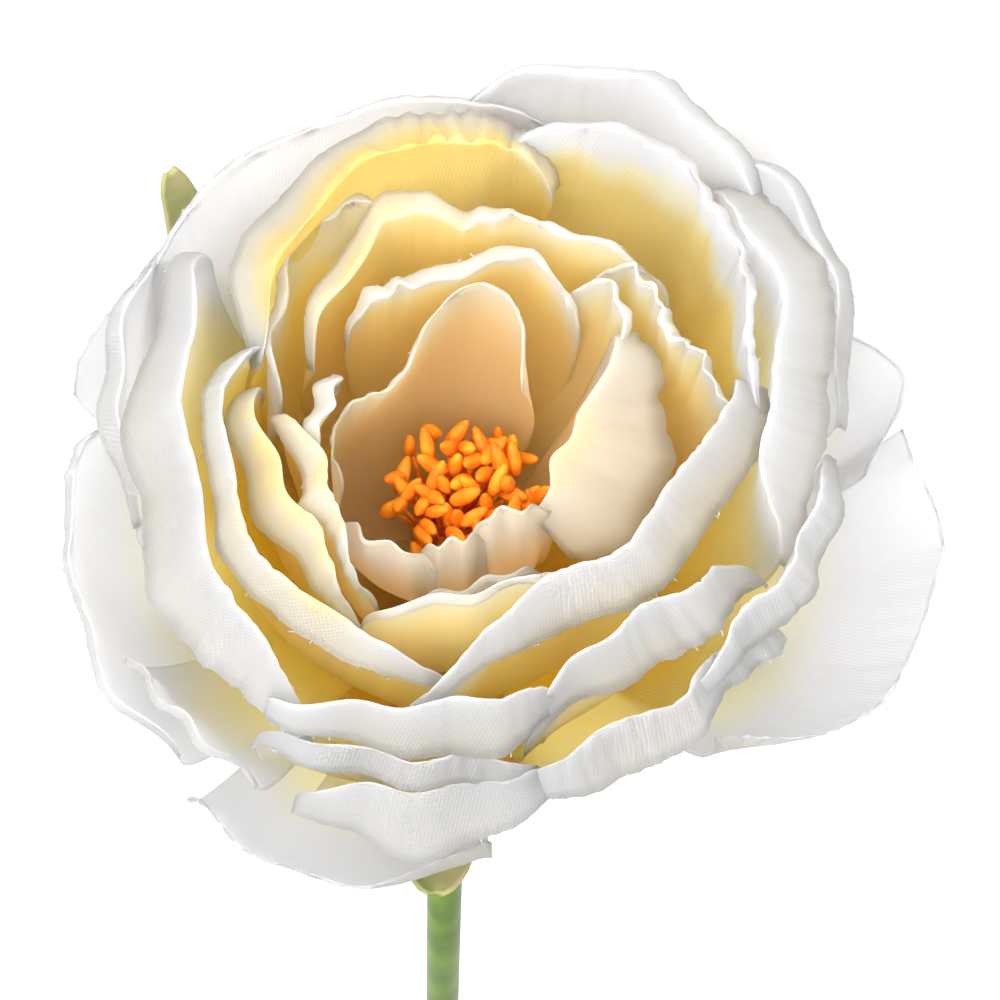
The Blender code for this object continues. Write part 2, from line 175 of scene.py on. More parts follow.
def linear(code: str) -> tuple[float, float, float, float]:
    """Linear colour of an sRGB hex code.

    Args:
        code: six hex digits.

    Returns:
        Red, green, blue and an alpha of 1.
    """
    channels = [int(code[start : start + 2], 16) / 255 for start in (0, 2, 4)]
    red, green, blue = ((c / 12.92) if c <= 0.04045 else ((c + 0.055) / 1.055) ** 2.4 for c in channels)
    return (red, green, blue, 1.0)


def add(tree: bpy.types.NodeTree, kind: str, inputs: dict | None = None, **settings: Any) -> bpy.types.Node:
    """Add a node with its settings, and set or link its inputs.

    Args:
        tree: the material's node tree.
        kind: the node's type name, without the ShaderNode before it.
        inputs: a value or an output socket for each input, by name or number.
        settings: properties of the node itself.

    Returns:
        The new node.
    """
    node = tree.nodes.new("ShaderNode" + kind)
    for name, value in settings.items():
        setattr(node, name, value)
    for name, value in (inputs or {}).items():
        if isinstance(value, bpy.types.NodeSocket):
            tree.links.new(value, node.inputs[name])
        else:
            node.inputs[name].default_value = value
    return node


def empty_material(name: str) -> tuple[bpy.types.Material, bpy.types.NodeTree]:
    """Make a material with an empty node tree.

    Args:
        name: the real finish's name.

    Returns:
        The material and its tree.
    """
    made = bpy.data.materials.new(name)
    made.use_nodes = True
    made.node_tree.nodes.clear()
    return made, made.node_tree


def set_stops(ramp: bpy.types.Node, stops: tuple) -> None:
    """Give a colour ramp its stops.

    Args:
        ramp: the Color Ramp node.
        stops: places from 0 to 1 with their hex colours.
    """
    elements = ramp.color_ramp.elements
    while len(elements) < len(stops):
        elements.new(0.5)
    for element, (place, code) in zip(elements, stops):
        element.position = place
        element.color = linear(code)


def blend(values: tuple, share: float) -> float:
    """Smooth curve through evenly spaced values.

    Args:
        values: the values at even steps.
        share: place from 0 to 1.

    Returns:
        The value there.
    """
    last = len(values) - 1
    place = min(max(share, 0.0), 1.0) * last
    index = min(int(place), last - 1)
    t = place - index
    before = values[max(index - 1, 0)]
    here = values[index]
    there = values[index + 1]
    after = values[min(index + 2, last)]
    slope_here = (there - before) / 2
    slope_there = (after - here) / 2
    return (
        here * (2 * t**3 - 3 * t**2 + 1)
        + slope_here * (t**3 - 2 * t**2 + t)
        + there * (3 * t**2 - 2 * t**3)
        + slope_there * (t**3 - t**2)
    )


def bezier(points: tuple, t: float) -> tuple[float, float]:
    """Point of a cubic curve.

    Args:
        points: four (radius, height) control points.
        t: place from 0 to 1.

    Returns:
        Radius and height there.
    """
    weights = ((1 - t) ** 3, 3 * t * (1 - t) ** 2, 3 * t * t * (1 - t), t**3)
    radius = sum(w * p[0] for w, p in zip(weights, points))
    height = sum(w * p[1] for w, p in zip(weights, points))
    return radius, height


def spin_round(bm: bmesh.types.BMesh, outline: list, steps: int) -> None:
    """Turn an outline all the way about the axis.

    Args:
        bm: the mesh.
        outline: its vertices and edges.
        steps: sides of the round.
    """
    bmesh.ops.spin(
        bm, geom=outline, axis=(0, 0, 1), cent=(0, 0, 0), angle=2 * math.pi, steps=steps, use_merge=True
    )


def turn_profile(bm: bmesh.types.BMesh, profile: tuple, steps: int) -> None:
    """Turn a closed outline about the axis into a solid shape.

    Args:
        bm: the mesh.
        profile: (radius, height) points of the outline.
        steps: sides of the round.
    """
    verts = [bm.verts.new((radius, 0.0, height)) for radius, height in profile]
    edges = []
    for one, other in zip(verts, verts[1:] + verts[:1]):
        if one.co.x > 0 or other.co.x > 0:
            edges.append(bm.edges.new((one, other)))
    spin_round(bm, verts + edges, steps)
    bmesh.ops.remove_doubles(bm, verts=bm.verts, dist=0.001)
    bmesh.ops.recalc_face_normals(bm, faces=bm.faces)


class Slot(Enum):
    """The record's material slots, which the petal layers list."""

    WHITE = "white_fabric"
    CREAM = "cream_fabric"
    PEACH = "peach_fabric"
    ORANGE = "orange_plastic"
    SEPAL = "sepal_plastic"
    STEM = "stem_plastic"
    WIRE = "steel_wire"


def place_piece(
    bm: bmesh.types.BMesh, name: str, finish: bpy.types.Material, node: str, clear: float = 0.0
) -> bpy.types.Object:
    """Lay a mesh from the bloom's frame down in the row's frame, and hang it on the root body in place of its
    CAD node.

    Args:
        bm: mesh in the bloom's frame, in millimetres. It is freed.
        name: the piece's name.
        finish: its material.
        node: the CAD node that it replaces.
        clear: height above the table that no point goes below, in millimetres.

    Returns:
        The new object.
    """
    bmesh.ops.transform(bm, matrix=LYING, verts=bm.verts)
    for vert in bm.verts:
        vert.co.z = max(vert.co.z, clear * MM)
    mesh = bpy.data.meshes.new(name)
    bm.to_mesh(mesh)
    bm.free()
    mesh.shade_smooth()
    mesh.materials.append(finish)
    piece = bpy.data.objects.new(name, mesh)
    bpy.context.scene.collection.objects.link(piece)
    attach(piece, "root")
    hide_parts(node)
    log.info("%s: %d faces", name, len(mesh.polygons))
    return piece


@dataclass(frozen=True)
class WovenPetal:
    """Stiffened polyester taffeta, dyed from the root and pressed hot. It lets light through."""

    name: str
    # Colours from the cut edge down to the root.
    stops: tuple
    # Real threads are about 0.24 mm apart. They are drawn a little coarser, so that a picture can show them.
    thread: float = 0.31
    # Height of the threads.
    relief: float = 0.07
    # Painted shade between the threads: how much darker the reflected colour is in the weave's hollows.
    shade: float = 0.16
    # Share of the light that passes, and how much more of it passes between the threads.
    through: float = 0.82
    open_weave: float = 0.14
    roughness: float = 0.75
    specular: float = 0.2

    def material(self) -> bpy.types.Material:
        """Build the node material.

        Returns:
            The new material.
        """
        made, tree = empty_material(self.name)
        weave = add(tree, "UVMap", uv_map="weave")
        axes = add(tree, "SeparateXYZ", {0: weave.outputs[0]})
        waves = []
        for axis in axes.outputs[:2]:
            place = add(tree, "Math", {0: axis, 1: math.pi / self.thread}, operation="MULTIPLY")
            waves.append(add(tree, "Math", {0: place.outputs[0]}, operation="SINE").outputs[0])
        threads = add(tree, "Math", {0: waves[0], 1: waves[1]}, operation="MULTIPLY").outputs[0]
        dye = add(tree, "UVMap", uv_map="dye")
        depth = add(tree, "SeparateXYZ", {0: dye.outputs[0]})
        ramp = add(tree, "ValToRGB", {0: depth.outputs[0]})
        set_stops(ramp, self.stops)
        # The weave's hollows get painted shade: the reflected colour darkens there, and is then multiplied by
        # the dye's mottle.
        dark = {"Value": threads, "From Min": -1.0, "To Min": 1 - self.shade, "To Max": 1.0}
        shade = add(tree, "MapRange", dark)
        mottle_and_thread_shade = add(tree, "Math", {0: shade.outputs[0], 1: depth.outputs[1]}, operation="MULTIPLY")
        cloth = add(tree, "VectorMath", {0: ramp.outputs[0], "Scale": mottle_and_thread_shade.outputs[0]}, operation="SCALE")
        bump = add(tree, "Bump", {"Height": threads, "Distance": self.relief * MM, "Strength": 1.0})
        surface = add(
            tree,
            "BsdfPrincipled",
            {
                "Base Color": cloth.outputs[0],
                "Roughness": self.roughness,
                "Specular IOR Level": self.specular,
                "Normal": bump.outputs[0],
            },
        )
        glow = add(tree, "BsdfTranslucent", {"Color": ramp.outputs[0]})
        most = self.through + self.open_weave
        least = self.through - self.open_weave
        passing = add(tree, "MapRange", {"Value": threads, "From Min": -1.0, "To Min": most, "To Max": least})
        both = {0: passing.outputs[0], 1: surface.outputs[0], 2: glow.outputs[0]}
        mix = add(tree, "MixShader", both)
        add(tree, "OutputMaterial", {"Surface": mix.outputs[0]})
        return made


WHITE_CLOTH = WovenPetal(
    "woven_polyester_white",
    ((0.0, "ECECED"), (0.12, "EDECE5"), (0.35, "F7F0CC"), (0.7, "FFF2BC"), (1.0, "FFEEA4")),
)
CREAM_CLOTH = WovenPetal(
    "woven_polyester_cream",
    ((0.0, "ECECED"), (0.05, "F1EDD9"), (0.15, "F3E5B0"), (0.3, "F8E9AE"), (0.5, "FFF0B8"), (1.0, "FFF0B0")),
)
INNER_CLOTH = WovenPetal(
    "woven_polyester_yellow",
    ((0.0, "EEEDEA"), (0.06, "F4EED4"), (0.2, "FAEDBE"), (0.6, "FFF1C0"), (1.0, "FFEEB2")),
    relief=0.015,
    shade=0.04,
    open_weave=0.03,
)
PEACH_CLOTH = WovenPetal(
    "woven_polyester_peach",
    ((0.0, "EEEBE4"), (0.05, "F1ECDD"), (0.25, "FAEBC8"), (0.6, "FFEEC4"), (1.0, "FFE7B0")),
    relief=0.010,
    shade=0.03,
    open_weave=0.02,
)


@dataclass(frozen=True)
class Moulded:
    """Soft moulded plastic: slightly uneven colour, a fine matt skin."""

    name: str
    low: str
    high: str
    roughness: float
    # Size of the colour's patches, in millimetres.
    patch: float
    # Depth and size of the skin's grain, in millimetres.
    skin: float = 0.02
    grain: float = 0.4
    specular: float = 0.3
    # Share of the light that scatters inside, and how deep red, green and blue go, in millimetres.
    inside: float = 0.25
    depths: tuple = (1.0, 0.5, 0.2)

    def material(self) -> bpy.types.Material:
        """Build the node material.

        Returns:
            The new material.
        """
        made, tree = empty_material(self.name)
        place = add(tree, "TexCoord").outputs["Object"]
        patches = add(tree, "TexNoise", {"Vector": place, "Scale": 1 / (self.patch * MM), "Detail": 4.0})
        colour = add(tree, "ValToRGB", {0: patches.outputs[0]})
        set_stops(colour, ((0.35, self.low), (0.65, self.high)))
        grain = add(tree, "TexNoise", {"Vector": place, "Scale": 1 / (self.grain * MM), "Detail": 2.0})
        bump = add(tree, "Bump", {"Height": grain.outputs[0], "Distance": self.skin * MM, "Strength": 0.6})
        surface = add(
            tree,
            "BsdfPrincipled",
            {
                "Base Color": colour.outputs[0],
                "Roughness": self.roughness,
                "Specular IOR Level": self.specular,
                "Subsurface Weight": self.inside,
                "Subsurface Radius": self.depths,
                "Subsurface Scale": MM,
                "Normal": bump.outputs[0],
            },
        )
        add(tree, "OutputMaterial", {"Surface": surface.outputs[0]})
        return made


ANTHER_SKIN = Moulded("moulded_orange_soft", "E8720A", "FD9C24", 0.55, 2.4)
SEPAL_SKIN = Moulded("moulded_olive_green", "868C54", "A89E78", 0.6, 7.0)
STEM_SKIN = Moulded("extruded_green_sheath", "45601A", "5C7626", 0.5, 9.0)


@dataclass(frozen=True)
class DrawnSteel:
    """Plain drawn steel wire: grey, with fine lengthwise lines from the die."""

    name: str = "drawn_steel"
    # Scale of the die's lines, fine across the wire and coarse along it, for each metre.
    lines: tuple = (4000.0, 120.0, 4000.0)

    def material(self) -> bpy.types.Material:
        """Build the node material.

        Returns:
            The new material.
        """
        made, tree = empty_material(self.name)
        place = add(tree, "TexCoord").outputs["Object"]
        stretch = add(tree, "Mapping", {"Vector": place, "Scale": self.lines})
        lines = add(tree, "TexNoise", {"Vector": stretch.outputs[0], "Scale": 1.0, "Detail": 2.0})
        colour = add(tree, "ValToRGB", {0: lines.outputs[0]})
        set_stops(colour, ((0.3, "8A8A8C"), (0.7, "B4B4B6")))
        steel = {"Base Color": colour.outputs[0], "Roughness": 0.35, "Metallic": 1.0}
        surface = add(tree, "BsdfPrincipled", steel)
        add(tree, "OutputMaterial", {"Surface": surface.outputs[0]})
        return made


@dataclass(frozen=True)
class Petal:
    """One petal of a layer.

    Angles are in degrees and sizes in millimetres. radius and height give the rim's crest at even steps of
    angle, out and down how far the folded lip's cut edge lies outward of the crest and below it.
    """

    start: float
    end: float
    radius: tuple
    height: tuple
    out: tuple
    down: tuple
    # Height and number of the broad waves along the rim.
    ripple: float = 0.5
    ripples: float = 3.0
    # Width of the undyed band, measured from the cut edge.
    white: float = 9.0
    # Direction of the warp against the petal's midline.
    weave: float = 35.0
    # Height of the small waves along the rim, and of the pleats across the lip.
    frill: float = 0.9
    pleat: float = 0.12
    # Depth of the creases that run up the petal.
    crease: float = 2.0
    # How far the rim falls away at the petal's two sides, as a share of its height.
    drop: float = 0.3
    # Loose threads along the cut edge, for each column of the mesh.
    fray: float = 0.08
    # How unevenly the dye took, as a share of its depth.
    uneven: float = 0.06


@dataclass(frozen=True)
class Rim:
    """A petal's rim at one place, in millimetres."""

    petal: Petal
    # Number that sets one petal's waves apart from the others.
    seed: float
    # Share of the way across the petal.
    across: float
    radius: float
    height: float
    # How far down the rounded corner the place lies, from 0 to about 1.
    side: float
    # Place along the rim.
    way: float

    def rough(self, kind: tuple, share: float = 1.0) -> float:
        """Unevenness of one kind, nearly always between -1 and 1. share moves it through the noise."""
        return noise.noise((self.way / kind[0], self.seed, share * kind[1]))

    def wave(self) -> float:
        """Broad waves, outward."""
        petal = self.petal
        return petal.ripple * math.sin(2 * math.pi * petal.ripples * self.across + petal.start)

    def swing(self) -> float:
        """Small waves, outward."""
        return self.petal.frill * sum(weight * self.rough(kind) for weight, kind in SWINGS)

    def lift(self) -> float:
        """Small waves, upright."""
        return self.petal.frill * sum(weight * self.rough(kind) for weight, kind in LIFTS)

    def crease(self) -> float:
        """Creases, outward."""
        return self.petal.crease * (0.5 - abs(self.rough(CREASE_WAVE))) ** 3

    def body_point(self, seat: float, belly: float, along: float) -> tuple[float, float]:
        """Work out a point between the petal's root and its crest.

        Args:
            seat: height of the root.
            belly: radius that the petal bulges toward.
            along: 0 at the root, 1 on the crest.

        Returns:
            Radius and height.
        """
        rise = self.height - seat
        curve = (
            (ROOT_RADIUS, seat),
            (ROOT_RADIUS + BELLY_OUT * (belly - ROOT_RADIUS), seat + BELLY_RISE * rise),
            (WALL_IN * self.radius + (1 - WALL_IN) * belly, seat + WALL_RISE * rise),
            (self.radius, self.height),
        )
        radius, height = bezier(curve, along)
        radius += self.wave() * along**4 + self.swing() * along**9
        radius += self.crease() * along**3
        radius += SWELL * self.rough(SWELL_WAVE, along) * along * along
        height += self.lift() * along**9
        return radius, height

    def lip_point(self, over: float) -> tuple[float, float]:
        """Work out a point between the petal's crest and its cut edge.

        Args:
            over: 0 on the crest, 1 on the cut edge.

        Returns:
            Radius and height.
        """
        petal = self.petal
        fold = 1 - SIDE_FOLD * self.side
        uneven = ROUGH_CUT + FRILL_CUT * petal.frill
        out = blend(petal.out, self.across) * fold
        out += uneven * min(1.0, out / FULL_LIP) * self.rough(WIDTH_WAVE)
        down = blend(petal.down, self.across) * fold
        down += uneven * min(1.0, down / FULL_LIP) * self.rough(FALL_WAVE)
        top = self.height + LIP_RISE * min(1.0, (out + down) / FULL_LIP)
        curve = (
            (self.radius, self.height),
            (self.radius, top),
            (self.radius + LIP_TURN * out, top),
            (self.radius + out, self.height - down),
        )
        radius, height = bezier(curve, over)
        pleat = petal.pleat * self.rough(PLEAT_WAVE, over) * min(1.0, 3 * over)
        pleat += petal.frill * FLUTTER * over * self.rough(FLUTTER_WAVE)
        radius += self.wave() + self.swing() * (1 - SWING_LOSS * over) + pleat
        radius += self.crease() * (1 - LIFT_LOSS * over)
        height += self.lift() * (1 - LIFT_LOSS * over) + pleat
        radius += SWELL * self.rough(SWELL_WAVE)
        return radius, height


@dataclass
class PetalLayer:
    """One die-cut layer of cloth petals on the stalk."""

    name: str
    # Place on the stalk, counted from the calyx.
    step: int
    # Radius that the petals bulge toward below their crests.
    belly: float
    slot: Slot
    cloth: WovenPetal
    petals: tuple
    # Length over which the dye goes from its palest to its deepest.
    dye_depth: float = 34.0

    def point(self, petal: Petal, seed: float, across: float, along: float) -> Vector:
        """Point of a petal's middle surface.

        Args:
            petal: the petal.
            seed: number that sets its waves.
            across: 0 at the petal's start to 1 at its end.
            along: 0 at the root, 1 on the crest, 2 on the lip's cut edge.

        Returns:
            The point in the bloom's frame.
        """
        seat = self.step * LAYER_PITCH
        span = petal.end - petal.start
        inside = min(across, 1 - across) * span / SHOULDER
        beside = max(0.0, 1 - inside)
        side = 1 - math.sqrt(1 - min(beside, STEEPEST) ** 2)
        crest = blend(petal.radius, across)
        top = blend(petal.height, across)
        top -= side * petal.drop * (top - seat)
        way = math.radians(petal.start + span * across) * crest
        rim = Rim(petal, seed, across, crest, top, side, way)
        if along <= 1:
            radius, height = rim.body_point(seat, self.belly, along)
            open_out = min(1.0, along / SPAN_OPEN)
            span_share = ROOT_SPAN + (1 - ROOT_SPAN) * open_out * open_out * (3 - 2 * open_out)
        else:
            radius, height = rim.lip_point(along - 1)
            span_share = 1.0
        middle = (petal.start + petal.end) / 2
        angle = math.radians(middle + span / 2 * (2 * across - 1) * span_share)
        return Vector((radius * math.cos(angle), radius * math.sin(angle), height))

    def grid(self, bm: bmesh.types.BMesh, petal: Petal, seed: float, columns: int) -> dict:
        """Add the grid of a petal's middle surface.

        Args:
            bm: the layer's mesh.
            petal: the petal.
            seed: number that sets its waves.
            columns: number of steps along its rim.

        Returns:
            Its vertices by row, from the root to the cut edge, and column.
        """
        alongs = [(row / BODY_ROWS) ** BODY_SPREAD for row in range(BODY_ROWS + 1)]
        alongs += [1 + (row / LIP_ROWS) ** LIP_SPREAD for row in range(1, LIP_ROWS + 1)]
        last = len(alongs) - 1
        made = bmesh.ops.create_grid(bm, x_segments=columns, y_segments=last, size=0.5)
        grid = {}
        for vert in made["verts"]:
            column = round((vert.co.x + 0.5) * columns)
            row = round((vert.co.y + 0.5) * last)
            vert.co = self.point(petal, seed, column / columns, alongs[row])
            grid[row, column] = vert
        return grid

    def coordinates(self, petal: Petal, seed: float, grid: dict, columns: int) -> dict:
        """Work out where a petal's vertices lie among its threads and in its dye.

        Args:
            petal: the petal.
            seed: number that sets its waves.
            grid: its vertices by row and column.
            columns: number of steps along its rim.

        Returns:
            For each vertex its place across the warp and the weft, in millimetres, and its depth of dye with
            its mottle, both from 0 to 1.
        """
        turn = math.radians(petal.weave)
        places = {}
        for column in range(columns + 1):
            length = 0.0
            for row in range(1, LAST_ROW + 1):
                length += (grid[row, column].co - grid[row - 1, column].co).length
            gone = 0.0
            for row in range(LAST_ROW + 1):
                vert = grid[row, column]
                if row:
                    gone += (vert.co - grid[row - 1, column].co).length
                width = math.hypot(vert.co.x, vert.co.y) * math.radians(petal.end - petal.start)
                sideways = (column / columns - 0.5) * width
                threads = (
                    sideways * math.cos(turn) - gone * math.sin(turn),
                    sideways * math.sin(turn) + gone * math.cos(turn),
                )
                way = math.atan2(vert.co.y, vert.co.x) * DYE_RADIUS
                depth = (length - gone - petal.white) / self.dye_depth
                depth += petal.uneven * noise.noise((way / DYE_PATCH[0], gone / DYE_PATCH[1], seed))
                mottle = MOTTLE_LEVEL + petal.uneven * noise.noise(
                    (way / MOTTLE_PATCH[0], gone / MOTTLE_PATCH[1], seed + 50)
                )
                places[vert] = (threads, (min(max(depth, 0.0), 1.0), min(mottle, 1.0)))
        return places

    def sheet(self, bm: bmesh.types.BMesh, petal: Petal, number: int) -> None:
        """Add one petal to the layer's mesh, with its thread and dye coordinates.

        Args:
            bm: the layer's mesh.
            petal: the petal.
            number: its place in the layer.
        """
        seed = LAYER_SEED * self.step + PETAL_SEED * number
        draw = random.Random(100 * self.step + number)
        reach = sum(petal.radius) / len(petal.radius) * math.radians(petal.end - petal.start)
        columns = max(LEAST_COLUMNS, round(reach / COLUMN_WIDTH))
        grid = self.grid(bm, petal, seed, columns)
        for column in range(columns + 1):
            edge = grid[LAST_ROW, column]
            run = (edge.co - grid[LAST_ROW - 1, column].co).normalized()
            edge.co += run * draw.uniform(-CUT_STEP, CUT_STEP)
        places = self.coordinates(petal, seed, grid, columns)
        faces = {face for vert in grid.values() for face in vert.link_faces}
        for column in range(1, columns):
            if draw.random() < petal.fray:
                edge = grid[LAST_ROW, column].co
                run = (edge - grid[LAST_ROW - 2, column].co).normalized()
                beside = (grid[LAST_ROW, column + 1].co - edge).normalized()
                strip = self.loose_thread(bm, edge, run, beside, draw)
                faces.update(strip)
                places.update({vert: UNDYED for face in strip for vert in face.verts})
        weave = bm.loops.layers.uv["weave"]
        dye = bm.loops.layers.uv["dye"]
        for face in faces:
            for loop in face.loops:
                loop[weave].uv, loop[dye].uv = places[loop.vert]

    def loose_thread(
        self, bm: bmesh.types.BMesh, foot: Vector, run: Vector, beside: Vector, draw: random.Random
    ) -> list[bmesh.types.BMFace]:
        """Add one loose thread to a cut edge, as a narrow strip of cloth.

        Args:
            bm: the layer's mesh.
            foot: where it leaves the cut edge.
            run: direction out of the edge.
            beside: direction along the edge.
            draw: source of its length and bends.

        Returns:
            The strip's faces.
        """
        length = THREAD_REACH * draw.uniform(THREAD_LEAST, 1.0) ** 2
        heading = (run + draw.uniform(-THREAD_LEAN, THREAD_LEAN) * beside).normalized()
        width = beside * (THREAD_WIDTH / 2)
        place = foot - THREAD_ROOT * run
        pairs = []
        for _ in range(THREAD_STEPS + 1):
            pairs.append((bm.verts.new(place - width), bm.verts.new(place + width)))
            heading = (heading + draw.uniform(-THREAD_BEND, THREAD_BEND) * beside).normalized()
            place = place + heading * (length / THREAD_STEPS)
        return [bm.faces.new((a[0], a[1], b[1], b[0])) for a, b in zip(pairs, pairs[1:])]

    def washer(self, bm: bmesh.types.BMesh) -> None:
        """Add the layer's middle, a flat ring about the stalk.

        Args:
            bm: the layer's mesh.
        """
        seat = self.step * LAYER_PITCH
        hole = STALK_RADIUS + FIT_GAP
        inner = bm.verts.new((hole, 0, seat))
        outer = bm.verts.new((WASHER_RADIUS, 0, seat))
        edge = bm.edges.new((inner, outer))
        spin_round(bm, [inner, outer, edge], WASHER_STEPS)
        dye = bm.loops.layers.uv["dye"]
        for face in bm.faces:
            for loop in face.loops:
                loop[dye].uv = DEEP_DYE

    def build(self, finish: bpy.types.Material) -> bpy.types.Object:
        """Build and dress the layer.

        Args:
            finish: the cloth's material.

        Returns:
            Its piece, which replaces the layer's solid.
        """
        bm = bmesh.new()
        bm.loops.layers.uv.new("weave")
        bm.loops.layers.uv.new("dye")
        self.washer(bm)
        for number, petal in enumerate(self.petals):
            self.sheet(bm, petal, number)
        piece = place_piece(bm, self.name + "_cloth", finish, self.name, TABLE_GAP)
        wall = piece.modifiers.new("thickness", "SOLIDIFY")
        wall.thickness = CLOTH_THICKNESS * MM
        wall.offset = 0.0
        return piece


